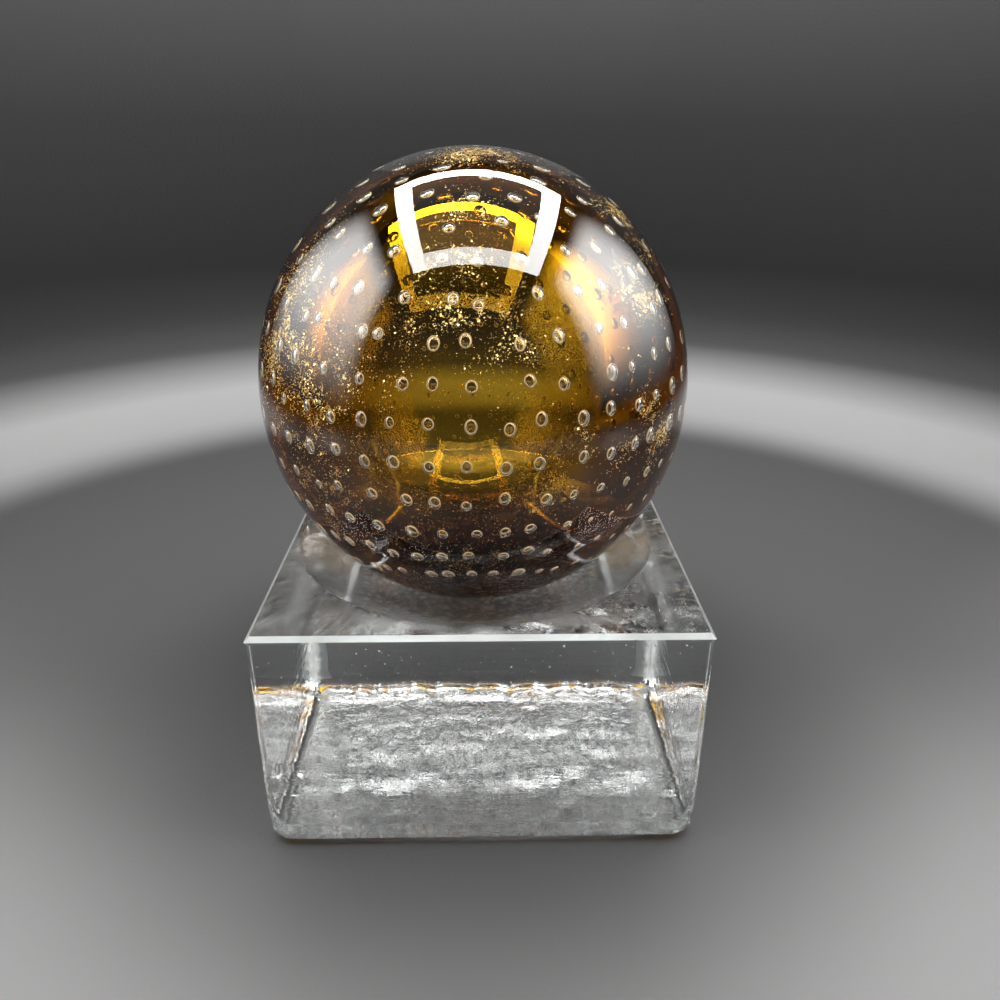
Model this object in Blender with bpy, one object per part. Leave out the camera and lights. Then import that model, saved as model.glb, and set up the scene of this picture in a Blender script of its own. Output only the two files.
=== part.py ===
"""Glass paperweight: an amber glass ball resting in the dish of a clear cast glass block.

Metres, +Z up. The origin is the middle of the block's underside, and -Y is its front.
"""

import math

import bmesh
import bpy

# The block: cast in a square mould, a little wider at the foot than at the ground top.
block_top_side = 0.1000
block_foot_side = 0.1018
block_height = 0.0586
top_chamfer = 0.0015
foot_round = 0.0030

# Its upright corners are crisp under the top and grow soft towards the foot.
corner_radius_top = 0.0010
corner_radius_foot = 0.0070
corner_soft_height = 0.0140

# The dish: a shallow spherical hollow ground into the top, a hair left of its middle.
dish_centre_x = -0.0015
dish_rim_radius = 0.0460
dish_depth = 0.0131

# The ball: gathered glass, slightly taller than it is wide.
ball_width = 0.1024
ball_height = 0.1072
seat_gap = 0.0003

round_segments = 72
ball_rings = 36
dish_rings = 10
corner_segments = 5
foot_segments = 4
side_sections = 8


def clear_scene():
    for obj in list(bpy.data.objects):
        bpy.data.objects.remove(obj, do_unlink=True)


def glass_material(name, color, roughness):
    material = bpy.data.materials.new(name)
    material.use_nodes = True
    shader = material.node_tree.nodes["Principled BSDF"]
    shader.inputs["Base Color"].default_value = (*color, 1.0)
    shader.inputs["Roughness"].default_value = roughness
    shader.inputs["Metallic"].default_value = 0.0
    shader.inputs["Transmission Weight"].default_value = 1.0
    shader.inputs["IOR"].default_value = 1.5
    return material


def object_from(name, bm, material=None):
    mesh = bpy.data.meshes.new(name)
    bmesh.ops.recalc_face_normals(bm, faces=bm.faces)
    bm.to_mesh(mesh)
    bm.free()
    if material:
        mesh.materials.append(material)
    obj = bpy.data.objects.new(name, mesh)
    bpy.context.scene.collection.objects.link(obj)
    return obj


def turned(name, profile, material=None):
    """A solid turned about +Z from (radius, height) points that start and end on the axis."""
    bm = bmesh.new()
    points = [bm.verts.new((radius, 0.0, height)) for radius, height in profile]
    edges = [bm.edges.new(pair) for pair in zip(points, points[1:])]
    bmesh.ops.spin(
        bm,
        geom=points + edges,
        cent=(0.0, 0.0, 0.0),
        axis=(0.0, 0.0, 1.0),
        angle=2.0 * math.pi,
        steps=round_segments,
        use_merge=True,
    )
    bmesh.ops.remove_doubles(bm, verts=bm.verts, dist=1e-6)
    return object_from(name, bm, material)


def rounded_square(half_side, corner_radius):
    """Points of a square with round corners, counter-clockwise seen from above."""
    points = []
    for corner in range(4):
        middle_angle = math.radians(45.0 + 90.0 * corner)
        centre_reach = (half_side - corner_radius) * math.sqrt(2.0)
        centre_x = centre_reach * math.cos(middle_angle)
        centre_y = centre_reach * math.sin(middle_angle)
        for step in range(corner_segments + 1):
            angle = math.radians(90.0 * (corner + step / corner_segments))
            x = centre_x + corner_radius * math.cos(angle)
            y = centre_y + corner_radius * math.sin(angle)
            points.append((x, y))
    return points


def side_half(height):
    """Half the block's width on its sloping sides at a height."""
    share = height / block_height
    return 0.5 * (block_foot_side + (block_top_side - block_foot_side) * share)


def corner_radius(height):
    """The plan radius of the upright corners at a height."""
    softness = max(0.0, 1.0 - height / corner_soft_height) ** 2
    side_share = 1.0 - height / block_height
    crisp = corner_radius_top * (1.0 + side_share)
    return crisp + (corner_radius_foot - crisp) * softness


def block_sections():
    """(half side, corner radius, height) of every section, from the underside to the top."""
    sections = []
    for step in range(foot_segments + 1):
        angle = math.radians(90.0 * step / foot_segments)
        height = foot_round * (1.0 - math.cos(angle))
        inset = foot_round * (1.0 - math.sin(angle))
        radius = max(corner_radius(height) - inset, 0.5 * foot_round)
        sections.append((side_half(height) - inset, radius, height))
    shoulder = block_height - top_chamfer
    for step in range(1, side_sections + 1):
        share = (step / side_sections) ** 2
        height = foot_round + (shoulder - foot_round) * share
        sections.append((side_half(height), corner_radius(height), height))
    top_half = side_half(shoulder) - top_chamfer
    sections.append((top_half, 0.4 * corner_radius_top, block_height))
    return sections


def make_dish_cutter(parent):
    """A lens with the dish's curve below, and straight sides that clear the block's top."""
    curve_radius = (dish_rim_radius**2 + dish_depth**2) / (2.0 * dish_depth)
    rim_angle = math.asin(dish_rim_radius / curve_radius)
    profile = []
    for step in range(dish_rings + 1):
        angle = rim_angle * step / dish_rings
        rise = curve_radius * (1.0 - math.cos(angle))
        profile.append((curve_radius * math.sin(angle), rise - dish_depth))
    clearance = 0.5 * dish_depth
    profile.append((dish_rim_radius, clearance))
    profile.append((0.0, clearance))
    cutter = turned("dish_cutter", profile)
    cutter.parent = parent
    cutter.location = (dish_centre_x, 0.0, block_height)
    cutter.hide_render = True
    cutter.display_type = "WIRE"
    return cutter


def make_block(parent):
    bm = bmesh.new()
    loops = []
    for half_side, radius, height in block_sections():
        outline = rounded_square(half_side, radius)
        loops.append([bm.verts.new((x, y, height)) for x, y in outline])
    for lower, upper in zip(loops, loops[1:]):
        for i in range(len(lower)):
            j = (i + 1) % len(lower)
            bm.faces.new((lower[i], lower[j], upper[j], upper[i]))
    bm.faces.new(reversed(loops[0]))
    bm.faces.new(loops[-1])
    clear_glass = glass_material("clear_cast_glass", (0.93, 0.96, 0.95), 0.02)
    block = object_from("glass_block", bm, clear_glass)
    block.parent = parent
    dish = block.modifiers.new("dish", "BOOLEAN")
    dish.operation = "DIFFERENCE"
    dish.object = make_dish_cutter(parent)
    return block


def make_ball(parent):
    half_width = 0.5 * ball_width
    half_height = 0.5 * ball_height
    profile = []
    for step in range(ball_rings + 1):
        angle = math.pi * (step / ball_rings - 0.5)
        radius = half_width * math.cos(angle)
        if step in (0, ball_rings):
            radius = 0.0
        profile.append((radius, half_height * math.sin(angle)))
    amber_glass = glass_material("amber_glass", (0.30, 0.17, 0.03), 0.02)
    ball = turned("glass_ball", profile, amber_glass)
    ball.data.shade_smooth()
    ball.parent = parent
    ball_foot = block_height - dish_depth + seat_gap
    ball.location = (dish_centre_x, 0.0, ball_foot + half_height)
    return ball


def main():
    clear_scene()
    paperweight = bpy.data.objects.new("paperweight", None)
    bpy.context.scene.collection.objects.link(paperweight)
    make_block(paperweight)
    make_ball(paperweight)


main()
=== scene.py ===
"""The looks of an amber glass ball paperweight and the clear cast block that it rests on.

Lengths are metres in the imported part's frame: +Z up, -Y towards the front of the block.
Azimuths are degrees from the front (-Y) towards +X, and polar angles are degrees from the top.
"""

import math

import bpy
import numpy as np
from mathutils import Matrix, Vector


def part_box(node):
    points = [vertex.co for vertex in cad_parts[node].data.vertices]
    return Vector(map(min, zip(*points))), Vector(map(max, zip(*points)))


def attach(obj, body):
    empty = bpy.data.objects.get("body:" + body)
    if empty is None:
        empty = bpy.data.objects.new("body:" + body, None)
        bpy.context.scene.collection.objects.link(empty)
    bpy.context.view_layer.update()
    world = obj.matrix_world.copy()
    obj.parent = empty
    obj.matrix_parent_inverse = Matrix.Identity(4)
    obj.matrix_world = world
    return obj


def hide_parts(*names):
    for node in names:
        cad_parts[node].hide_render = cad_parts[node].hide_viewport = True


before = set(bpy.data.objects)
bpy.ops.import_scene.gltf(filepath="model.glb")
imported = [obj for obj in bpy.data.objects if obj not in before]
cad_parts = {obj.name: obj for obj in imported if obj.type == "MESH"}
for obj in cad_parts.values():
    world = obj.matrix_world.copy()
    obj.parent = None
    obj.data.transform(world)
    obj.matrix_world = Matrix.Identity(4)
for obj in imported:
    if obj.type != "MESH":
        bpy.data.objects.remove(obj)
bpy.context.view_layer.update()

MM = 0.001

ball_low, ball_high = (np.array(corner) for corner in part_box("glass_ball"))
ball_centre = (ball_low + ball_high) / 2
ball_half = (ball_high - ball_low) / 2

# The block, as the CAD model has it, apart from a finer chamfer and back corners.
block_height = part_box("glass_block")[1][2]
block_foot_half = 50.9 * MM
block_top_half = 50.0 * MM
top_chamfer = 1.0 * MM
foot_round = 3.0 * MM
corner_radius_top = 1.0 * MM
corner_radius_foot = 7.0 * MM
corner_soft_height = 14.0 * MM
back_corner_radius = 4.2 * MM
frosted_from = 3.4 * MM
seat_gap = 0.3 * MM
dish_rim_radius = 46.0 * MM
dish_depth = block_height - ball_low[2] + seat_gap
block_index = 1.52

# The ball's layers, as shares of its radius, and its glass.
amber_thickness = 0.055
amber_pool = 0.030
amber_limit = 0.728
amber_gap = 0.003
leaf_above_amber = 0.007
bubble_share = 0.744
casing_index = 1.5

# The blown hollow: an ellipsoid set back from the front, and held within a share of the radius.
hollow_offset = np.array([-2.6, 12.2, -0.7]) * MM
hollow_half = np.array([38.0, 44.3, 38.2]) * MM
hollow_share = 0.685


# ---------------------------------------------------------------- numbers


def smoothstep(low, high, value):
    share = np.clip((value - low) / (high - low), 0.0, 1.0)
    return share * share * (3.0 - 2.0 * share)


def hashed(cells, seed):
    """A steady number from 0 to 1 for every whole-numbered cell."""
    mixed = cells.astype(np.int64) @ np.array((73856093, 19349663, 83492791)[: cells.shape[1]])
    mixed = (mixed + seed * 374761393) & 0x7FFFFFFF
    mixed = ((mixed ^ (mixed >> 15)) * 739982445) & 0x7FFFFFFF
    mixed = ((mixed ^ (mixed >> 12)) * 695872825) & 0x7FFFFFFF
    return (mixed ^ (mixed >> 15)) / 0x7FFFFFFF


def noise(points, size, seed):
    """Smooth noise from -1 to 1 whose blobs are about size across."""
    scaled = points / np.asarray(size)
    base = np.floor(scaled)
    inside = scaled - base
    inside = inside**3 * (inside * (inside * 6.0 - 15.0) + 10.0)
    total = np.zeros(len(points))
    for corner in np.ndindex(*(2,) * points.shape[1]):
        offset = np.array(corner)
        weight = np.prod(np.where(offset == 1, inside, 1.0 - inside), axis=1)
        total += weight * hashed(base + offset, seed)
    return 2.0 * total - 1.0


def rough_noise(points, size, seed, octaves=3):
    """Noise with finer and fainter octaves added."""
    total = np.zeros(len(points))
    strength = 1.0
    for octave in range(octaves):
        total += strength * noise(points, np.asarray(size) / 2.0**octave, seed + octave)
        strength *= 0.5
    return total / 1.75


def cell_distance(points, size, seed):
    """How far each point is from the nearest of scattered centres, in cell sizes."""
    scaled = points / size
    base = np.floor(scaled)
    nearest = np.full(len(points), 9.0)
    for step in np.ndindex(*(3,) * points.shape[1]):
        cell = base + np.array(step) - 1
        centre = np.stack(
            [cell[:, axis] + hashed(cell, seed + 31 * axis) for axis in range(cell.shape[1])], axis=1
        )
        nearest = np.minimum(nearest, np.linalg.norm(scaled - centre, axis=1))
    return nearest


def direction(azimuth, polar):
    """Unit vectors for azimuths from the front and polar angles from the top, in degrees."""
    a, p = np.radians(azimuth), np.radians(polar)
    return np.stack([np.sin(p) * np.sin(a), -np.sin(p) * np.cos(a), np.cos(p)], axis=-1)


def unit(vectors):
    return vectors / np.linalg.norm(vectors, axis=-1, keepdims=True)


# ---------------------------------------------------------------- meshes


def mesh_piece(name, points, faces, material, smooth_angle=None):
    """A piece of the object with its material, on the one body of the frame."""
    mesh = bpy.data.meshes.new(name)
    mesh.from_pydata(points.tolist(), [], faces)
    mesh.materials.append(material)
    mesh.shade_smooth()
    if smooth_angle:
        mesh.set_sharp_from_angle(angle=math.radians(smooth_angle))
    piece = bpy.data.objects.new(name, mesh)
    bpy.context.scene.collection.objects.link(piece)
    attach(piece, "root")
    return piece


def joined(shells):
    """One list of points and faces from several."""
    points, faces, start = [], [], 0
    for shell_points, shell_faces in shells:
        points.append(shell_points)
        faces += [tuple(start + i for i in face) for face in shell_faces]
        start += len(shell_points)
    return np.concatenate(points), faces


def sphere(segments, rings):
    """Unit vectors of a closed round shell, and its faces, which look outwards."""
    polar = np.pi * np.arange(1, rings) / rings
    turn = 2.0 * np.pi * np.arange(segments) / segments
    p, t = np.meshgrid(polar, turn, indexing="ij")
    belts = np.stack([np.sin(p) * np.cos(t), np.sin(p) * np.sin(t), np.cos(p)], axis=-1)
    points = np.concatenate([belts.reshape(-1, 3), [[0.0, 0.0, 1.0], [0.0, 0.0, -1.0]]])
    top, foot = len(points) - 2, len(points) - 1
    faces = []
    for i in range(segments):
        j = (i + 1) % segments
        faces.append((top, i, j))
        for ring in range(rings - 2):
            upper, lower = ring * segments, (ring + 1) * segments
            faces.append((upper + i, lower + i, lower + j, upper + j))
        last = (rings - 2) * segments
        faces.append((foot, last + j, last + i))
    return points, faces


def hollows(centres, axes, shape):
    """Round hollows inside a solid: shells whose faces look into the hollow.

    axes holds three half-axis vectors for each centre, in a right-handed order.
    """
    directions, faces = shape
    inward = [face[::-1] for face in faces]
    return [(centre + directions @ half_axes, inward) for centre, half_axes in zip(centres, axes)]


def tiny_hollows(centres, sizes):
    """Round hollows that are too small to need a fine shape."""
    return hollows(centres, sizes[:, None, None] * np.eye(3), sphere(8, 6))


# ---------------------------------------------------------------- materials


class Finish:
    """A material with its Principled node and short calls to add nodes to it."""

    def __init__(self, name):
        self.material = bpy.data.materials.new(name)
        self.material.use_nodes = True
        self.tree = self.material.node_tree
        self.shader = self.tree.nodes["Principled BSDF"]
        self.output = self.tree.nodes["Material Output"]
        self.place = self.add("ShaderNodeTexCoord").outputs["Object"]

    def add(self, kind, **settings):
        node = self.tree.nodes.new(kind)
        for key, value in settings.items():
            setattr(node, key, value)
        return node

    def link(self, source, target):
        self.tree.links.new(source, target)

    def set(self, **values):
        for key, value in values.items():
            self.shader.inputs[key.replace("_", " ")].default_value = value

    def glass(self, tint, index):
        self.set(Metallic=0.0, Roughness=0.0, IOR=index, Base_Color=(*tint, 1.0))
        self.shader.inputs["Transmission Weight"].default_value = 1.0

    def scaled_place(self, scale, turned=(0.0, 0.0, 0.0)):
        mapping = self.add("ShaderNodeMapping")
        mapping.inputs["Scale"].default_value = scale
        mapping.inputs["Rotation"].default_value = turned
        self.link(self.place, mapping.inputs["Vector"])
        return mapping.outputs["Vector"]

    def noise(self, scale, detail=3.0, distortion=0.0, where=None):
        node = self.add("ShaderNodeTexNoise")
        node.inputs["Scale"].default_value = scale
        node.inputs["Detail"].default_value = detail
        node.inputs["Distortion"].default_value = distortion
        self.link(where or self.place, node.inputs["Vector"])
        return node.outputs["Fac"]

    def cells(self, scale, feature="F1", where=None):
        node = self.add("ShaderNodeTexVoronoi", feature=feature)
        node.inputs["Scale"].default_value = scale
        self.link(where or self.place, node.inputs["Vector"])
        return node.outputs["Distance"]

    def ramp(self, value, low, high, low_to=0.0, high_to=1.0):
        node = self.add("ShaderNodeMapRange", interpolation_type="SMOOTHSTEP")
        for key, number in zip(("From Min", "From Max", "To Min", "To Max"), (low, high, low_to, high_to)):
            node.inputs[key].default_value = number
        self.link(value, node.inputs["Value"])
        return node.outputs["Result"]

    def maths(self, operation, first, second):
        node = self.add("ShaderNodeMath", operation=operation)
        for socket, value in zip(node.inputs, (first, second)):
            if isinstance(value, float):
                socket.default_value = value
            else:
                self.link(value, socket)
        return node.outputs["Value"]

    def product(self, first, second):
        node = self.add("ShaderNodeVectorMath", operation="MULTIPLY")
        self.link(first, node.inputs[0])
        self.link(second, node.inputs[1])
        return node.outputs["Vector"]

    def tints(self, value, *stops):
        """A colour for every value, from (position, colour) stops."""
        node = self.add("ShaderNodeValToRGB")
        ramp = node.color_ramp
        while len(ramp.elements) < len(stops):
            ramp.elements.new(1.0)
        for element, (position, colour) in zip(ramp.elements, stops):
            element.position = position
            element.color = (*colour, 1.0)
        self.link(value, node.inputs["Fac"])
        return node.outputs["Color"]

    def bump(self, height, depth, below=None):
        """A bump of the given depth in metres, on top of the one below."""
        node = self.add("ShaderNodeBump")
        node.inputs["Strength"].default_value = 1.0
        node.inputs["Distance"].default_value = depth
        self.link(height, node.inputs["Height"])
        if below:
            self.link(below, node.inputs["Normal"])
        return node.outputs["Normal"]


def casing_glass():
    """Polished clear glass with hairline scratches and a faint ripple."""
    finish = Finish("cased_glass")
    finish.glass((1.0, 1.0, 0.99), casing_index)
    bent = finish.scaled_place((1.0, 0.6, 1.5), (0.4, 0.9, 0.2))
    hair = finish.ramp(finish.cells(34.0, "DISTANCE_TO_EDGE", bent), 0.0, 0.004, 1.0, 0.0)
    worn = finish.ramp(finish.noise(55.0), 0.55, 0.66)
    scratches = finish.maths("MULTIPLY", hair, worn)
    ripple = finish.noise(28.0, 1.0)
    normal = finish.bump(ripple, 0.06 * MM)
    finish.link(finish.bump(scratches, 0.012 * MM, normal), finish.shader.inputs["Normal"])
    return finish.material


def bubble_rim_painted_ring():
    """The steep rim of a trapped bubble, made dull and cream coloured so that it scatters cream light into
    a bright ring: a painted reflection of the ring a bubble's rim shows.
    """
    finish = Finish("bubble_rim_painted_ring")
    finish.glass((1.0, 1.0, 1.0), casing_index)
    finish.shader.inputs["Transmission Weight"].default_value = 0.60
    blush = finish.noise(300.0, 2.0)
    # Painted reflection: the rim's cream colour stands in for the bright ring of reflected light.
    painted_ring_creams = finish.tints(blush, (0.35, (0.98, 0.86, 0.56)), (0.65, (0.90, 0.74, 0.38)))
    finish.link(painted_ring_creams, finish.shader.inputs["Base Color"])
    finish.link(finish.ramp(blush, 0.3, 0.7, 0.30, 0.45), finish.shader.inputs["Roughness"])
    return finish.material


def amber_glass():
    """Dark amber glass with cloudy wisps, and painted shade: its tint darkens towards the bottom front and
    towards the left and right sides. It meets the casing without bending light.
    """
    finish = Finish("amber_glass")
    finish.glass((1.0, 1.0, 1.0), 1.0)
    white = (1.0, 1.0, 1.0)
    wisps = finish.noise(34.0, 5.0, 1.2, finish.scaled_place((1.0, 1.0, 1.5), (0.3, 0.5, 0.0)))
    cloudy = finish.tints(
        wisps,
        (0.35, white),
        (0.58, (0.96, 0.92, 0.82)),
        (0.75, (0.86, 0.76, 0.56)),
    )
    # Painted shade: the tint darkens towards the bottom front.
    lean = finish.add("ShaderNodeVectorMath", operation="DOT_PRODUCT")
    finish.link(finish.place, lean.inputs[0])
    down_and_front = (0.0, -0.50, -0.86)
    lean.inputs[1].default_value = down_and_front
    low_front_shade_top = down_and_front[2] * ball_centre[2] + 24 * MM
    low_front_shade = finish.ramp(lean.outputs["Value"], low_front_shade_top, low_front_shade_top + 10 * MM)
    foot = finish.tints(low_front_shade, (0.0, white), (1.0, (0.60, 0.42, 0.26)))
    # Painted shade: the tint darkens towards the left and right sides.
    across = finish.add("ShaderNodeSeparateXYZ")
    finish.link(finish.place, across.inputs["Vector"])
    off_middle = finish.maths("ABSOLUTE", across.outputs["X"], 0.0)
    beside = finish.ramp(off_middle, 14 * MM, 27 * MM)
    sides = finish.tints(beside, (0.0, white), (1.0, (0.76, 0.66, 0.42)))
    tint = finish.product(finish.product(cloudy, foot), sides)
    finish.link(tint, finish.shader.inputs["Base Color"])
    depth = finish.add("ShaderNodeVolumeAbsorption")
    depth.inputs["Color"].default_value = (0.835, 0.715, 0.05, 1.0)
    depth.inputs["Density"].default_value = 850.0
    finish.link(depth.outputs["Volume"], finish.output.inputs["Volume"])
    return finish.material


def gold_leaf():
    """Torn leaf, crinkled, from pale to reddish gold."""
    finish = Finish("gold_leaf")
    finish.set(Metallic=1.0)
    golds = finish.tints(
        finish.noise(420.0, 2.0),
        (0.30, (0.82, 0.54, 0.14)),
        (0.55, (0.96, 0.74, 0.28)),
        (0.75, (1.0, 0.88, 0.50)),
    )
    finish.link(golds, finish.shader.inputs["Base Color"])
    finish.link(finish.ramp(finish.noise(900.0), 0.3, 0.7, 0.22, 0.42), finish.shader.inputs["Roughness"])
    crinkles = finish.noise(5000.0, 2.0)
    finish.link(finish.bump(crinkles, 0.08 * MM), finish.shader.inputs["Normal"])
    return finish.material


def block_glass():
    """Clear cast glass: chill ripples low on its sides, grinding arcs, smears and pits on top."""
    finish = Finish("block_glass")
    # The greenish tint is partly the glass's own and partly deepened as painted shade, for the shaded
    # floor seen through the block.
    finish.glass((0.930, 0.955, 0.945), block_index)
    height = finish.add("ShaderNodeSeparateXYZ")
    finish.link(finish.place, height.inputs["Vector"])
    low = finish.ramp(height.outputs["Z"], 16 * MM, 40 * MM, 1.0, 0.0)
    top = finish.ramp(height.outputs["Z"], block_height - 0.3 * MM, block_height - 0.1 * MM)
    washboard = finish.noise(1.0, 3.0, 0.4, finish.scaled_place((160.0, 160.0, 900.0)))
    normal = finish.bump(finish.maths("MULTIPLY", washboard, low), 0.12 * MM)
    arcs = finish.add("ShaderNodeTexWave", wave_type="RINGS", rings_direction="Z")
    arcs.inputs["Scale"].default_value = 560.0
    arcs.inputs["Distortion"].default_value = 1.5
    arcs.inputs["Detail"].default_value = 2.0
    finish.link(finish.place, arcs.inputs["Vector"])
    corner = finish.add("ShaderNodeVectorMath", operation="DISTANCE")
    finish.link(finish.place, corner.inputs[0])
    corner.inputs[1].default_value = (-block_top_half, -block_top_half, block_height)
    patches = finish.ramp(corner.outputs["Value"], 20 * MM, 45 * MM, 1.0, 0.12)
    ground = finish.maths("MULTIPLY", finish.maths("MULTIPLY", arcs.outputs["Fac"], patches), top)
    normal = finish.bump(ground, 0.016 * MM, normal)
    pits = finish.maths("MULTIPLY", finish.ramp(finish.cells(260.0), 0.07, 0.12, 1.0, 0.0), top)
    finish.link(finish.bump(pits, 0.12 * MM, normal), finish.shader.inputs["Normal"])
    smears = finish.noise(60.0, 7.0, 1.5, finish.scaled_place((1.0, 1.8, 1.0), (0.0, 0.0, 0.5)))
    haze = finish.maths("MULTIPLY", finish.ramp(smears, 0.44, 0.62, 0.0, 0.22), top)
    plan = finish.scaled_place((1.0, 1.0, 0.0))
    seat = finish.add("ShaderNodeVectorMath", operation="DISTANCE")
    finish.link(plan, seat.inputs[0])
    seat.inputs[1].default_value = (ball_centre[0], 0.0, 0.0)
    dish_haze = 0.15
    wiped = finish.ramp(seat.outputs["Value"], dish_rim_radius - 2 * MM, dish_rim_radius, dish_haze, 0.0)
    finish.link(finish.maths("ADD", haze, wiped), finish.shader.inputs["Roughness"])
    return finish.material


def ground_edge(name, tint, clearness, dullness):
    """Glass ground dull and left white, with fine streaks."""
    finish = Finish(name)
    finish.glass(tint, block_index)
    finish.shader.inputs["Transmission Weight"].default_value = clearness
    streaks = finish.noise(500.0, 4.0)
    uneven = finish.ramp(streaks, 0.3, 0.7, dullness, dullness + 0.12)
    finish.link(uneven, finish.shader.inputs["Roughness"])
    finish.link(finish.bump(streaks, 0.02 * MM), finish.shader.inputs["Normal"])
    return finish.material


def cast_face():
    """The underside as it left the mould: grainy and slightly dull, with painted colour fringes of split
    light in bluish and warm patches.
    """
    finish = Finish("cast_face")
    finish.glass((1.0, 1.0, 1.0), block_index)
    # Painted light: bluish and warm patches stand in for the colour fringes of light split by the glass.
    painted_dispersion_hues = finish.tints(
        finish.noise(210.0, 2.0),
        (0.36, (0.74, 0.86, 0.95)),
        (0.50, (0.88, 0.90, 0.89)),
        (0.64, (0.95, 0.86, 0.70)),
    )
    finish.link(painted_dispersion_hues, finish.shader.inputs["Base Color"])
    grain = finish.noise(700.0, 4.0)
    finish.link(finish.ramp(grain, 0.3, 0.7, 0.16, 0.32), finish.shader.inputs["Roughness"])
    finish.link(finish.bump(grain, 0.12 * MM), finish.shader.inputs["Normal"])
    return finish.material


# ---------------------------------------------------------------- the block

grid_steps = 150
loop_length = 4 * grid_steps
corner_steps = 9
rim_ring = 45
lump_size = 8.0 * MM
knob_size = 3.6 * MM
grain_size = 1.6 * MM
seed_count = 170
front_pit_count = 60
lip_pit_count = 50
corner_pit_count = 50


def side_half(height):
    return block_foot_half + (block_top_half - block_foot_half) * height / block_height


def corner_radius(height):
    """The plan radius of the upright corners at a height: crisp above, soft at the foot."""
    softness = max(0.0, 1.0 - height / corner_soft_height) ** 2
    crisp = corner_radius_top * (2.0 - height / block_height)
    return crisp + (corner_radius_foot - crisp) * softness


def outline(half_side, radius, back_radius):
    """Points and outward normals of a rounded square, counter-clockwise from its -X -Y corner."""
    early = np.radians(225.0 + 45.0 * np.arange(corner_steps) / corner_steps)
    late = np.radians(270.0 + 45.0 * np.arange(1, corner_steps) / corner_steps)
    counts = (corner_steps, grid_steps - 2 * corner_steps + 1, corner_steps - 1)
    angles = np.concatenate([early, np.full(counts[1], np.radians(270.0)), late])
    normals = np.stack([np.cos(angles), np.sin(angles)], axis=1)
    radii = (radius, radius, back_radius, back_radius, radius)
    points, directions = [], []
    for turn in range(4):
        start, end = radii[turn], radii[turn + 1]
        straight = np.linspace(start - half_side, half_side - end, counts[1])
        across = np.pad(straight, (counts[0], counts[2]), mode="edge")
        bend = np.repeat([start, start, end], counts)
        side = np.stack([across, bend - half_side], axis=1) + bend[:, None] * normals
        c, s = round(math.cos(turn * math.pi / 2)), round(math.sin(turn * math.pi / 2))
        spin = np.array([[c, s], [-s, c]])
        points.append(side @ spin)
        directions.append(normals @ spin)
    return np.concatenate(points), np.concatenate(directions)


def grid_place():
    """For each point of the square grid: its ring's share, and its place round the outline."""
    steps = np.linspace(-1.0, 1.0, grid_steps + 1)
    v, u = np.meshgrid(steps, steps, indexing="ij")
    u, v = u.ravel(), v.ravel()
    ring = np.maximum(np.abs(u), np.abs(v))
    safe = np.where(ring == 0.0, 1.0, ring)
    side = np.select([(v == -ring), (u == ring), (v == ring)], [0, 1, 2], 3)
    along = np.choose(side, [u, v, -u, -v]) / safe
    return u, v, ring, (side + (along + 1.0) / 2.0) * grid_steps


def around(outline_points, place):
    """Points of the outline at fractional places round it."""
    count = len(outline_points)
    low = np.floor(place).astype(int)
    share = (place - low)[:, None]
    return outline_points[low % count] * (1.0 - share) + outline_points[(low + 1) % count] * share


def border():
    """The grid's own border, in the order of the outline."""
    row = grid_steps + 1
    run = np.arange(grid_steps)
    front, right = run, grid_steps + run * row
    back, left = row * row - 1 - run, (grid_steps - run) * row
    return np.concatenate([front, right, back, left])


def hammered(places):
    """Height of the underside's relief: round dents pressed into it, boldest along the back."""
    squeezed = places * np.array([1.0, 0.7])
    lumps = 1.0 - cell_distance(squeezed, lump_size, 11) ** 2
    knobs = 1.0 - cell_distance(squeezed, knob_size, 12) ** 2
    grains = 1.0 - cell_distance(squeezed, grain_size, 13) ** 2
    calm = smoothstep(-16 * MM, 0.0, places[:, 1])
    edge = smoothstep(38 * MM, 48 * MM, places[:, 1])
    boldness = 1.15 - 0.5 * calm + 1.1 * edge
    return boldness * MM * (0.66 * lumps + 0.32 * knobs) + (0.16 - 0.07 * calm) * MM * grains


def side_relief(points, normals):
    """How far the cast sides stand out from their plane."""
    z = points[:, 2]
    low = 1.0 - smoothstep(20 * MM, 42 * MM, z)
    corner = smoothstep(0.75, 0.98, 1.42 * np.abs(normals[:, 0]) * 1.42 * np.abs(normals[:, 1]))
    broad = 0.07 * MM * rough_noise(points, (20 * MM, 20 * MM, 9 * MM), 21, 2)
    chill = 0.06 * MM * noise(points, (13 * MM, 13 * MM, 1.3 * MM), 31) * low
    chill += 0.04 * MM * noise(points, (6 * MM, 6 * MM, 2.6 * MM), 32) * low
    cast = 0.09 * MM * rough_noise(points, 2.8 * MM, 41, 2) * (1.0 - smoothstep(6 * MM, 20 * MM, z))
    scallops = 0.22 * MM * np.sin(np.pi * z / (3.0 * MM) + 2.0 * noise(points, 9 * MM, 51)) ** 2
    scallops *= corner * (1.0 - smoothstep(30 * MM, 44 * MM, z)) * smoothstep(3 * MM, 6 * MM, z)
    groove_line = 6.4 * MM + 0.5 * MM * noise(points, 11 * MM, 61)
    groove = -0.32 * MM * np.exp(-(((z - groove_line) / (0.7 * MM)) ** 2))
    groove *= 1.0 - smoothstep(-40 * MM, 0.0, points[:, 1])
    lip = 0.20 * MM * smoothstep(1 * MM, 3 * MM, z) * (1.0 - smoothstep(4.6 * MM, 6.2 * MM, z))
    fade = 1.0 - smoothstep(block_height - 5 * MM, block_height - 2.5 * MM, z)
    return (broad + chill + cast + scallops) * fade + groove + lip


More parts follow.
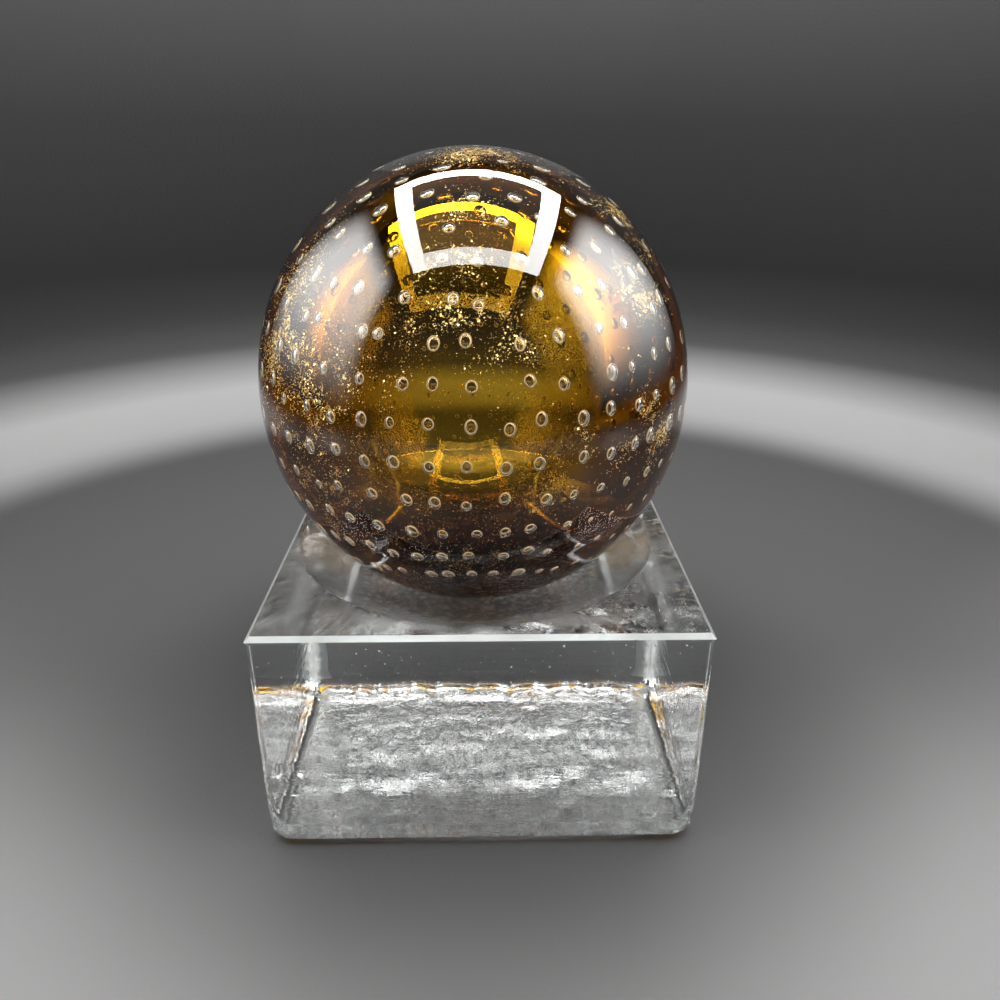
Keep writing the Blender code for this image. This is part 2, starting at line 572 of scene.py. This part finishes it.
def side_levels():
    """(height, half side, corner radius, relief share) of every loop between the two grids."""
    levels = []
    for angle in np.radians(np.arange(15.0, 91.0, 15.0)):
        height = foot_round * (1.0 - math.cos(angle))
        inset = foot_round * (1.0 - math.sin(angle))
        radius = max(corner_radius(height) - inset, foot_round / 2)
        levels.append((height, side_half(height) - inset, radius, math.sin(angle)))
    shoulder = block_height - top_chamfer
    fine_gap, fine_top = 0.45 * MM, 24 * MM
    lower = np.arange(foot_round + fine_gap, fine_top, fine_gap)
    upper = np.linspace(fine_top, shoulder - 2 * fine_gap, 14)
    for height in np.concatenate([lower, upper]):
        levels.append((height, side_half(height), corner_radius(height) + 0.8 * MM, 1.0))
    levels.append((shoulder - 0.35 * MM, side_half(shoulder), corner_radius_top, 1.0))
    levels.append((shoulder, side_half(shoulder) + 0.05 * MM, corner_radius_top / 3, 1.0))
    return levels


def underside_grid():
    """Points of the underside: a square grid that follows the rounded outline at its border."""
    u, v, ring, place = grid_place()
    half_side = side_half(0.0) - foot_round
    foot_corner = corner_radius_foot - foot_round
    edge, _ = outline(half_side, foot_corner, foot_corner)
    plain = np.stack([u, v], axis=1) * half_side
    follow = smoothstep(0.75, 1.0, ring)[:, None]
    flat = plain * (1.0 - follow) + ring[:, None] * around(edge, place) * follow
    relief = hammered(flat)
    return np.column_stack([flat, relief - relief.min()])


def side_loops(foot_relief):
    """Loops of points up the sides. The underside's relief fades out in them, slowest at the back."""
    loops = []
    for height, half_side, radius, share in side_levels():
        points, normals = outline(half_side, radius, max(radius, back_corner_radius))
        back = smoothstep(0.0, 40 * MM, points[:, 1])
        lowness = 1.0 - smoothstep(0.0, 11 * MM, height)
        fading = (1.0 - share) * (1.0 - back) + lowness * back
        points = np.column_stack([points, height + foot_relief * fading])
        points[:, :2] += normals * (side_relief(points, normals) * share)[:, None]
        loops.append(points)
    return loops


def top_grid():
    """Points of the top: rings down the round dish, and a flat border out to the chamfer."""
    _, _, ring, place = grid_place()
    half_side = side_half(block_height) - top_chamfer
    edge, _ = outline(half_side, corner_radius_top / 3, back_corner_radius / 2)
    rim_share = 2.0 * rim_ring / grid_steps
    seat = np.array([ball_centre[0], 0.0])
    angle = np.radians(225.0) + 2.0 * np.pi * place / loop_length
    spoke = np.stack([np.cos(angle), np.sin(angle)], axis=1)
    reach = dish_rim_radius * np.minimum(ring / rim_share, 1.0)
    dish = seat + spoke * reach[:, None]
    outward = np.clip((ring - rim_share) / (1.0 - rim_share), 0.0, 1.0)[:, None]
    flat = dish * (1.0 - outward) + around(edge, place) * outward
    curve = (dish_rim_radius**2 + dish_depth**2) / (2.0 * dish_depth)
    sag = dish_depth - (curve - np.sqrt(curve**2 - reach**2))
    return np.column_stack([flat, block_height - np.where(outward[:, 0] > 0.0, 0.0, sag)])


def block_surface():
    """The block's closed surface, and which of its faces are the chamfer and the back corners."""
    bottom = underside_grid()
    loops = side_loops(bottom[border(), 2])
    row = grid_steps + 1
    first = (np.arange(grid_steps)[:, None] * row + np.arange(grid_steps)).ravel()
    quads = np.column_stack([first, first + 1, first + row + 1, first + row])
    start = len(bottom)
    rings = [border()]
    for _ in loops:
        rings.append(np.arange(start, start + loop_length))
        start += loop_length
    rings.append(start + border())
    faces = [tuple(face) for face in quads[:, ::-1].tolist()]
    faces += [tuple(face) for face in (quads + start).tolist()]
    behind = range(grid_steps + corner_steps + 1, loop_length - corner_steps)
    at_corner = [i for i in behind if min(i % grid_steps, -i % grid_steps) < corner_steps]
    chamfer, corners = [], []
    for index, (lower, upper) in enumerate(zip(rings, rings[1:])):
        belt = np.column_stack([lower, np.roll(lower, -1), np.roll(upper, -1), upper]).tolist()
        if upper is rings[-1]:
            chamfer = [len(faces) + i for i in range(loop_length)]
        elif loops[index][0, 2] > frosted_from:
            corners += [len(faces) + i for i in at_corner]
        faces += [tuple(face) for face in belt]
    return np.concatenate([bottom, *loops, top_grid()]), faces, chamfer, corners


def block_seeds():
    """Tiny round air seeds through the block, clear of its faces and its dish."""
    rng = np.random.default_rng(71)
    inner_half = 46 * MM
    lowest = (-inner_half, -inner_half, 8 * MM)
    highest = (inner_half, inner_half, block_height - 4 * MM)
    places = rng.uniform(lowest, highest, (seed_count, 3))
    beside_dish = np.hypot(places[:, 0], places[:, 1]) > dish_rim_radius + 2 * MM
    clear_of_dish = places[:, 2] < block_height - dish_depth - 2 * MM
    places = places[beside_dish | clear_of_dish]
    return tiny_hollows(places, rng.uniform(0.10 * MM, 0.30 * MM, len(places)))


def block_pits():
    """White pecks just under the faces: along the front, and by the front right corner on top."""
    rng = np.random.default_rng(72)
    across = rng.uniform(-46 * MM, 46 * MM, front_pit_count)
    rise = block_height - rng.uniform(3.0 * MM, 22.0 * MM, front_pit_count)
    front = np.column_stack([across, 0.5 * MM - side_half(rise), rise])
    skin = block_height - 0.35 * MM
    along = rng.uniform(-47 * MM, 47 * MM, lip_pit_count)
    back = rng.uniform(-48.5 * MM, -45.0 * MM, lip_pit_count)
    lip = np.column_stack([along, back, np.full(lip_pit_count, skin)])
    across = 46 * MM - 16 * MM * rng.random(corner_pit_count) ** 2
    back = 16 * MM * rng.random(corner_pit_count) ** 2 - 46 * MM
    corner = np.column_stack([across, back, np.full(corner_pit_count, skin)])
    places = np.concatenate([front, lip, corner])
    return tiny_hollows(places, rng.uniform(0.05 * MM, 0.15 * MM, len(places)))


def make_block():
    """The cast block with its seeds and pits, and the finish of each of its faces."""
    points, faces, chamfer, corners = block_surface()
    clear = [(points, faces), *block_seeds()]
    pits_from = sum(len(shell[1]) for shell in clear)
    points, faces = joined([*clear, *block_pits()])
    block = mesh_piece("glass_block_cast", points, faces, block_glass(), 40.0)
    block.data.materials.append(ground_edge("ground_edge", (0.66, 0.71, 0.69), 0.90, 0.28))
    block.data.materials.append(cast_face())
    block.data.materials.append(ground_edge("ground_corner", (0.50, 0.55, 0.56), 0.60, 0.50))
    white = [*chamfer, *range(pits_from, len(faces))]
    underside = range(grid_steps**2)
    for index, chosen in enumerate((white, underside, corners)):
        for face in chosen:
            block.data.polygons[face].material_index = index + 1
    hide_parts("glass_block")


# ---------------------------------------------------------------- the ball

ball_segments = 160
ball_rings = 80

# The spiked mould's rings of bubbles, in degrees, and how many stand in a ring.
bubble_first_polar = 8.5
bubble_pitch = 11.1
bubble_last_polar = 150.0
lower_columns = 34
upper_columns = 29.5

# A bubble's mean half width, its depth as a share of that, how its sides bulge, and how steep
# its rim is: the rim's faces are those whose middle is lower than this on the round shape.
bubble_half_width = 1.16 * MM
bubble_depth_share = 0.44
bubble_bulge = 0.80
bubble_rim = 0.50
bubble_segments = 15
bubble_belts = 12
casing_seed_count = 150


def bubble_rings():
    """(azimuth, polar) of every trapped bubble: the spiked mould's rings and columns."""
    rng = np.random.default_rng(5)
    spots = []
    for polar in np.arange(bubble_first_polar, bubble_last_polar, bubble_pitch):
        below_belt = polar > 80.0
        columns = lower_columns if below_belt else round(upper_columns * math.sin(math.radians(polar)))
        first = -1.0 if below_belt else 2.0 if polar > 60.0 else rng.uniform(0.0, 360.0)
        wander = 1.1 if below_belt else 2.2
        for column in range(columns):
            azimuth = first + 360.0 * column / columns + rng.normal(0.0, wander)
            spots.append((azimuth, polar + rng.normal(0.0, 0.7)))
    return np.array(spots)


def tangent_frame(normals):
    """East and north vectors on a round surface with these normals."""
    east = unit(np.cross([0.0, 0.0, 1.0], normals))
    return east, np.cross(normals, east)


def trapped_bubbles():
    """The bubbles as hollows, and which faces of each make its steep rim.

    They are a little longer up and down than across, and smaller low on the right and behind.
    """
    rng = np.random.default_rng(6)
    spots = bubble_rings()
    out = direction(spots[:, 0], spots[:, 1])
    east, north = tangent_frame(out)
    azimuth = (spots[:, 0] + 180.0) % 360.0 - 180.0
    right = smoothstep(20, 45, azimuth) * (1 - smoothstep(85, 120, azimuth))
    weak = right * smoothstep(100, 118, spots[:, 1])
    weak = np.maximum(weak, smoothstep(110, 150, np.abs(azimuth)))
    width = bubble_half_width * np.exp(rng.normal(0.0, 0.09, len(spots))) * (1.0 - 0.45 * weak)
    height = width * rng.uniform(1.05, 1.30, len(spots))
    depth = bubble_depth_share * width
    centres = ball_centre + ball_half * out * (bubble_share + rng.normal(0.0, 0.004, len(spots)))[:, None]
    axes = np.stack([east * width[:, None], north * height[:, None], out * depth[:, None]], axis=1)
    directions, faces = sphere(bubble_segments, bubble_belts)
    across = np.linalg.norm(directions[:, :2], axis=1, keepdims=True)
    directions[:, :2] *= np.where(across > 0.01, across, 1.0) ** (bubble_bulge - 1.0)
    steep = np.abs([directions[list(face), 2].mean() for face in faces]) < bubble_rim
    return hollows(centres, axes, (directions, faces)), np.nonzero(steep)[0]


def casing_seeds():
    """Pinprick bubbles that wandered in between the rings."""
    rng = np.random.default_rng(8)
    out = unit(rng.normal(size=(casing_seed_count, 3)))
    share = rng.uniform(0.74, 0.90, casing_seed_count)
    sizes = rng.uniform(0.10 * MM, 0.26 * MM, casing_seed_count)
    return tiny_hollows(ball_centre + ball_half * out * share[:, None], sizes)


def hollow_reach(out):
    """The blown hollow's radius share in each direction from the ball's centre."""
    along = ball_half * out / hollow_half
    start = -hollow_offset / hollow_half
    a = np.sum(along * along, axis=1)
    b = along @ start
    c = start @ start - 1.0
    share = (np.sqrt(b * b - a * c) - b) / a
    sharpness = 40.0
    share = (share**-sharpness + hollow_share**-sharpness) ** (-1.0 / sharpness)
    return share + 0.002 * noise(out, 0.9, 92)


def amber_reach(out):
    """The amber layer's outer radius share: it pools towards the foot."""
    pool = amber_pool * smoothstep(-0.55, -0.90, out[:, 2])
    return np.minimum(hollow_reach(out) + amber_thickness + pool, amber_limit)


def make_casing():
    """The clear glass: its polished outside, the blown hollow, and every bubble and seed."""
    directions, faces = sphere(ball_segments, ball_rings)
    surface = ball_centre + ball_half * directions
    inner = ball_centre + ball_half * directions * hollow_reach(directions)[:, None]
    inward = [face[::-1] for face in faces]
    bubbles, rim = trapped_bubbles()
    first_bubble = 2 * len(faces)
    faces_each = len(bubbles[0][1])
    points, faces = joined([(surface, faces), (inner, inward), *bubbles, *casing_seeds()])
    casing = mesh_piece("ball_casing", points, faces, casing_glass())
    # The bubbles' rim faces get the painted cream ring.
    casing.data.materials.append(bubble_rim_painted_ring())
    for bubble in range(len(bubbles)):
        for face in rim.tolist():
            casing.data.polygons[first_bubble + bubble * faces_each + face].material_index = 1
    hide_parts("glass_ball")


def make_amber():
    """The amber layer between the casing's clear glass and the hollow."""
    directions, faces = sphere(ball_segments, ball_rings)
    outer = ball_centre + ball_half * directions * amber_reach(directions)[:, None]
    inner = ball_centre + ball_half * directions * (hollow_reach(directions) + amber_gap)[:, None]
    inward = [face[::-1] for face in faces]
    points, faces = joined([(outer, faces), (inner, inward)])
    mesh_piece("amber_layer", points, faces, amber_glass())


# The gold between the leaf's patches, the places tried, and the most flakes and grains kept.
bare_density = 0.035
leaf_trials = 260000
leaf_fullness = 2.4
most_flakes = 11000
most_grains = 20000
flake_sides = 5

# Where the leaf tore and spread: azimuth, polar angle, spread in degrees, and how thick it lies.
leaf_patches = (
    (-49, 83, 19, 1.1),
    (-72, 72, 20, 1.3),
    (-74, 58, 16, 0.8),
    (-52, 99, 20, 1.4),
    (-64, 116, 14, 0.9),
    (178, 14, 16, 0.9),
    (140, 24, 14, 0.8),
    (-2, 18, 8, 1.3),
    (-1, 36, 8, 1.0),
    (2, 52, 14, 1.3),
    (-16, 47, 12, 0.7),
    (-24, 60, 9, 0.9),
    (15, 60, 11, 0.8),
    (-22, 72, 4, 2.0),
    (4, 69, 7, 1.0),
    (74, 57, 8, 2.8),
    (84, 62, 7, 2.2),
    (92, 52, 7, 1.8),
    (101, 40, 7, 1.8),
    (175, 9, 11, 2.2),
    (67, 90, 6, 1.8),
    (74, 100, 8, 1.6),
    (57, 104, 6, 1.0),
    (33, 95, 7, 1.2),
    (23, 112, 9, 0.5),
    (-3, 130, 13, 0.8),
    (-26, 119, 12, 0.5),
    (120, 80, 14, 0.9),
    (160, 60, 16, 0.8),
    (-140, 75, 18, 0.8),
    (-110, 100, 14, 0.7),
    (150, 110, 14, 0.6),
)

# Turns the noise from one octave to the next, so that their grids don't line up.
skew = np.array(Matrix.Rotation(0.9, 3, (1.0, 2.0, 3.0)))


def leaf_density(out):
    """How thick the gold lies in each direction, with torn edges."""
    density = np.full(len(out), bare_density)
    for azimuth, polar, spread, thickness in leaf_patches:
        away = np.degrees(np.arccos(np.clip(out @ direction(azimuth, polar), -1.0, 1.0)))
        density = np.maximum(density, thickness * np.exp(-((away / spread) ** 2) * 1.4))
    torn = np.zeros(len(out))
    turned = out
    for octave in range(4):
        turned = turned @ skew
        torn += noise(turned, 0.16 / 2.0**octave, 101 + octave) / 1.5**octave
    return density * (0.15 + 0.85 * smoothstep(-0.25, 0.45, torn))


def scattered(count, seed):
    """At most this many directions, scattered as thickly as the leaf lies."""
    rng = np.random.default_rng(seed)
    out = unit(rng.normal(size=(leaf_trials, 3)))
    keep = leaf_density(out) > rng.uniform(0.0, leaf_fullness, len(out))
    return out[keep][:count], rng


def make_leaf(material):
    """Torn flakes, each a thin crooked plate that lies nearly along the amber layer."""
    out, rng = scattered(most_flakes, 102)
    sides = flake_sides
    east, north = tangent_frame(unit(out + rng.normal(0.0, 0.22, out.shape)))
    lift = unit(np.cross(east, north))
    dense = np.clip(leaf_density(out), 0.0, 1.6)
    size = (0.07 + 0.06 * dense) * MM * np.exp(rng.normal(0.0, 0.40, len(out)))
    size = np.clip(size, 0.05 * MM, 0.40 * MM)
    reach = amber_reach(out) + leaf_above_amber + rng.normal(0.0, 0.0018, len(out))
    middle = ball_centre + ball_half * out * reach[:, None]
    turn = 2.0 * np.pi * np.arange(sides) / sides + rng.uniform(-0.5, 0.5, (len(out), sides))
    reach = size[:, None] * rng.uniform(0.55, 1.45, (len(out), sides))
    ring = middle[:, None] + (reach * np.cos(turn))[..., None] * east[:, None]
    ring = ring + (reach * np.sin(turn))[..., None] * north[:, None]
    half_thickness = 0.012 * MM * lift[:, None]
    points = np.concatenate([ring + half_thickness, ring - half_thickness], axis=1).reshape(-1, 3)
    faces = []
    upper = list(range(sides))
    plate = [tuple(upper), tuple(i + sides for i in reversed(upper))]
    plate += [(i + sides, (i + 1) % sides + sides, (i + 1) % sides, i) for i in upper]
    for flake in range(len(out)):
        start = flake * 2 * sides
        faces += [tuple(start + i for i in face) for face in plate]
    mesh_piece("gold_leaf_flakes", points, faces, material, 30.0)


def make_dust(material):
    """Leaf worn to dust: grains with eight small faces."""
    out, rng = scattered(most_grains, 103)
    size = rng.uniform(0.035, 0.085, len(out)) * MM
    reach = amber_reach(out) + leaf_above_amber + rng.normal(0.0, 0.0022, len(out))
    middle = ball_centre + ball_half * out * reach[:, None]
    corners = np.array([(1, 0, 0), (0, 1, 0), (-1, 0, 0), (0, -1, 0), (0, 0, 1), (0, 0, -1)], float)
    points = (middle[:, None] + size[:, None, None] * corners).reshape(-1, 3)
    grain = [(i, (i + 1) % 4, 4) for i in range(4)] + [((i + 1) % 4, i, 5) for i in range(4)]
    faces = [tuple(6 * g + i for i in face) for g in range(len(out)) for face in grain]
    mesh_piece("gold_leaf_dust", points, faces, material, 20.0)


# ---------------------------------------------------------------- studio

floor_reach = 0.300
cove_radius = 0.060
wall_height = 0.55
wall_lean = 0.05
floor_drop = 0.2 * MM

# The paper's tone at shares of the wall's height: plain grey on the floor, and on the wall painted shade
# low down that gives way to painted light higher up.
paper_tones_with_painted_wall_light = (
    (0.00, 0.0450),
    (0.02, 0.0450),
    (0.06, 0.0060),
    (0.15, 0.0012),
    (0.30, 0.0016),
    (0.50, 0.0060),
    (0.75, 0.0130),
    (1.00, 0.0280),
)


def paper_with_painted_light():
    """Matt grey paper with painted light and shade: painted shadow round the object and nearest the
    camera, painted light that makes it paler in front, at the front corners and at the floor's end, and
    painted shade dark low on the wall.
    """
    finish = Finish("paper_with_painted_light")
    axes = finish.add("ShaderNodeSeparateXYZ")
    finish.link(finish.place, axes.inputs["Vector"])
    rise = finish.maths("MULTIPLY", axes.outputs["Z"], 1.0 / wall_height)
    stops = [(place, (tone, tone, tone)) for place, tone in paper_tones_with_painted_wall_light]
    out = finish.add("ShaderNodeVectorMath", operation="LENGTH")
    finish.link(finish.place, out.inputs[0])
    off_middle = finish.maths("ABSOLUTE", axes.outputs["X"], 0.0)
    aside = finish.maths("SUBTRACT", off_middle, axes.outputs["Y"])
    painted_floor_light = (
        # Painted shadow round the object: darker near it.
        finish.ramp(out.outputs["Value"], 0.05, 0.13, 0.50, 1.05),
        # Painted light: five times paler from near the floor's end outwards, a bright band where the floor
        # meets the wall.
        finish.ramp(out.outputs["Value"], 0.25, 0.31, 1.0, 5.0),
        # Painted light: paler towards the front.
        finish.ramp(axes.outputs["Y"], 0.03, -0.09, 1.0, 2.1),
        # Painted shadow nearest the camera.
        finish.ramp(axes.outputs["Y"], -0.11, -0.17, 1.0, 0.3),
        # Painted light: paler towards the front corners.
        finish.ramp(aside, 0.09, 0.19, 1.0, 1.5),
    )
    painted_light_level = painted_floor_light[0]
    for shade in painted_floor_light[1:]:
        painted_light_level = finish.maths("MULTIPLY", painted_light_level, shade)
    tone = finish.add("ShaderNodeVectorMath", operation="SCALE")
    finish.link(finish.tints(rise, *stops), tone.inputs[0])
    finish.link(painted_light_level, tone.inputs["Scale"])
    finish.link(tone.outputs["Vector"], finish.shader.inputs["Base Color"])
    finish.set(Roughness=0.6, Specular_IOR_Level=0.2)
    finish.link(finish.bump(finish.noise(900.0, 3.0), 0.1 * MM), finish.shader.inputs["Normal"])
    return finish.material


def make_stage():
    """A round floor that curves up into a wall on every side."""
    turns = 128
    profile = [(0.0, 0.0)] + [(floor_reach * share, 0.0) for share in (0.2, 0.4, 0.6, 0.8, 1.0)]
    for angle in np.radians(np.arange(7.5, 90.1, 7.5)):
        reach = floor_reach + cove_radius * math.sin(angle)
        profile.append((reach, cove_radius * (1 - math.cos(angle))))
    profile.append((floor_reach + cove_radius + wall_lean, wall_height))
    points, faces = [(0.0, 0.0, -floor_drop)], []
    for radius, height in profile[1:]:
        for step in range(turns):
            turn = 2.0 * math.pi * step / turns
            points.append((radius * math.cos(turn), radius * math.sin(turn), height - floor_drop))
    for i in range(turns):
        j = (i + 1) % turns
        faces.append((0, 1 + i, 1 + j))
        for ring in range(len(profile) - 2):
            near, far = 1 + ring * turns, 1 + (ring + 1) * turns
            faces.append((near + i, far + i, far + j, near + j))
    mesh = bpy.data.meshes.new("studio_floor")
    mesh.from_pydata(points, [], faces)
    mesh.shade_smooth()
    floor = bpy.data.objects.new("studio_floor", mesh)
    bpy.context.scene.collection.objects.link(floor)
    mesh.materials.append(paper_with_painted_light())


def area_light(name, place, target, width, height, radiance, colour=(1.0, 1.0, 1.0)):
    """A soft panel that shines towards its target and doesn't show to the camera itself."""
    lamp = bpy.data.lights.new(name, "AREA")
    lamp.shape = "RECTANGLE"
    lamp.size, lamp.size_y = width, height
    lamp.energy = radiance * width * height * math.pi
    lamp.color = colour
    holder = bpy.data.objects.new(name, lamp)
    bpy.context.scene.collection.objects.link(holder)
    holder.location = place
    holder.rotation_mode = "QUATERNION"
    holder.rotation_quaternion = (Vector(target) - Vector(place)).to_track_quat("-Z", "Y")
    holder.visible_camera = False
    return holder


def upright_sheet(finish, plane, distance, across, up):
    """A flat sheet square to the plane's axis, at a distance along it."""
    corners = [(across[a], up[b]) for a, b in ((0, 0), (-1, 0), (-1, -1), (0, -1))]
    corners = [(distance, a, z) if plane == "X" else (a, distance, z) for a, z in corners]
    mesh = bpy.data.meshes.new(finish.material.name)
    mesh.from_pydata(corners, [], [(0, 1, 2, 3)])
    mesh.materials.append(finish.material)
    sheet = bpy.data.objects.new(finish.material.name, mesh)
    bpy.context.scene.collection.objects.link(sheet)
    sheet.visible_camera = False


def black_card(name, plane, distance, across, up):
    """The dark backing of a panel, which keeps its light off the wall behind."""
    finish = Finish(name)
    felt = finish.tints(finish.noise(600.0), (0.3, (0.004,) * 3), (0.7, (0.008,) * 3))
    finish.link(felt, finish.shader.inputs["Base Color"])
    upright_sheet(finish, plane, distance, across, up)


def soft_panel(name, plane, distance, across, up, radiance):
    """An upright diffuser that fades in and out at four places across and up."""
    run = "Y" if plane == "X" else "X"
    finish = Finish(name)
    spread = finish.add("ShaderNodeSeparateXYZ")
    finish.link(finish.place, spread.inputs["Vector"])
    fade = None
    for axis, stops in ((run, across), ("Z", up)):
        for start, full in ((stops[0], stops[1]), (stops[3], stops[2])):
            part = finish.ramp(spread.outputs[axis], start, full)
            fade = finish.maths("MULTIPLY", fade, part) if fade else part
    glow = finish.add("ShaderNodeEmission")
    finish.link(finish.maths("MULTIPLY", fade, radiance), glow.inputs["Strength"])
    sheer = finish.add("ShaderNodeAddShader")
    finish.link(glow.outputs["Emission"], sheer.inputs[0])
    finish.link(finish.add("ShaderNodeBsdfTransparent").outputs["BSDF"], sheer.inputs[1])
    finish.link(sheer.outputs["Shader"], finish.output.inputs["Surface"])
    upright_sheet(finish, plane, distance, across, up)


def make_lights():
    """A square frame of soft strips overhead, and a dimmer panel on each side and behind."""
    frame_height = 0.45
    left, left_in, right_in, right = -0.180, -0.1345, 0.148, 0.200
    front, front_in, back_in, back = -0.170, -0.112, 0.180, 0.228
    strips = {
        "left": (left, left_in, front, back, 20.0),
        "right": (right_in, right, front, back, 20.0),
        "front": (left_in, right_in, front, front_in, 14.0),
        "back": (left_in, right_in, back_in, back, 26.0),
    }
    for side, (x0, x1, y0, y1, radiance) in strips.items():
        place = ((x0 + x1) / 2, (y0 + y1) / 2, frame_height)
        area_light(f"frame_{side}", place, (place[0], place[1], 0.0), x1 - x0, y1 - y0, radiance)
    inside = ((left_in + right_in) / 2, (front_in + back_in) / 2, frame_height + 2 * MM)
    below = (inside[0], inside[1], 0.0)
    area_light("frame_inside", inside, below, right_in - left_in, back_in - front_in, 0.4)
    beside, up = (-0.22, -0.13, 0.02, 0.27), (0.06, 0.32, 0.42, 0.53)
    soft_panel("panel_left", "X", -0.30, beside, up, 9.0)
    soft_panel("panel_right", "X", 0.30, beside, up, 10.5)
    black_card("card_left", "X", -0.302, beside, up)
    black_card("card_right", "X", 0.302, beside, up)
    soft_panel("panel_back", "Y", 0.36, (-0.30, -0.10, 0.10, 0.30), (0.14, 0.24, 0.32, 0.44), 0.12)


def make_camera():
    """The viewing angle: close, from above the front, a hair to the right of the middle."""
    place = (0.0008, -0.1875, 0.1532)
    pitch, yaw, roll = math.radians(24.55), math.radians(1.238), math.radians(0.263)
    ahead = Vector((math.sin(yaw) * math.cos(pitch), math.cos(yaw) * math.cos(pitch), -math.sin(pitch)))
    right = Vector((math.cos(yaw), -math.sin(yaw), 0.0))
    above = right.cross(ahead)
    rolled_right = math.cos(roll) * right + math.sin(roll) * above
    rolled_above = math.cos(roll) * above - math.sin(roll) * right
    data = bpy.data.cameras.new("camera")
    data.lens = 28.08
    data.sensor_width = 36.0
    data.clip_start, data.clip_end = 0.01, 10.0
    camera = bpy.data.objects.new("camera", data)
    bpy.context.scene.collection.objects.link(camera)
    turn = Matrix((rolled_right, rolled_above, -ahead)).transposed().to_4x4()
    camera.matrix_world = Matrix.Translation(place) @ turn
    bpy.context.scene.camera = camera


def set_look():
    """A dim surround, deep glass paths, and plain colour handling."""
    scene = bpy.context.scene
    world = bpy.data.worlds.new("surround")
    world.use_nodes = True
    world.node_tree.nodes["Background"].inputs["Color"].default_value = (0.02, 0.02, 0.02, 1.0)
    scene.world = world
    scene.cycles.max_bounces = 24
    scene.cycles.transmission_bounces = 24
    scene.cycles.glossy_bounces = 16
    scene.cycles.diffuse_bounces = 3
    scene.cycles.caustics_reflective = True
    scene.cycles.caustics_refractive = True
    scene.cycles.blur_glossy = 0.2
    scene.cycles.sample_clamp_indirect = 12.0
    scene.cycles.use_denoising = True
    scene.view_settings.view_transform = "Standard"
    scene.view_settings.look = "None"


set_look()
make_camera()
make_stage()
make_lights()
make_block()
make_casing()
make_amber()
gold = gold_leaf()
make_leaf(gold)
make_dust(gold)
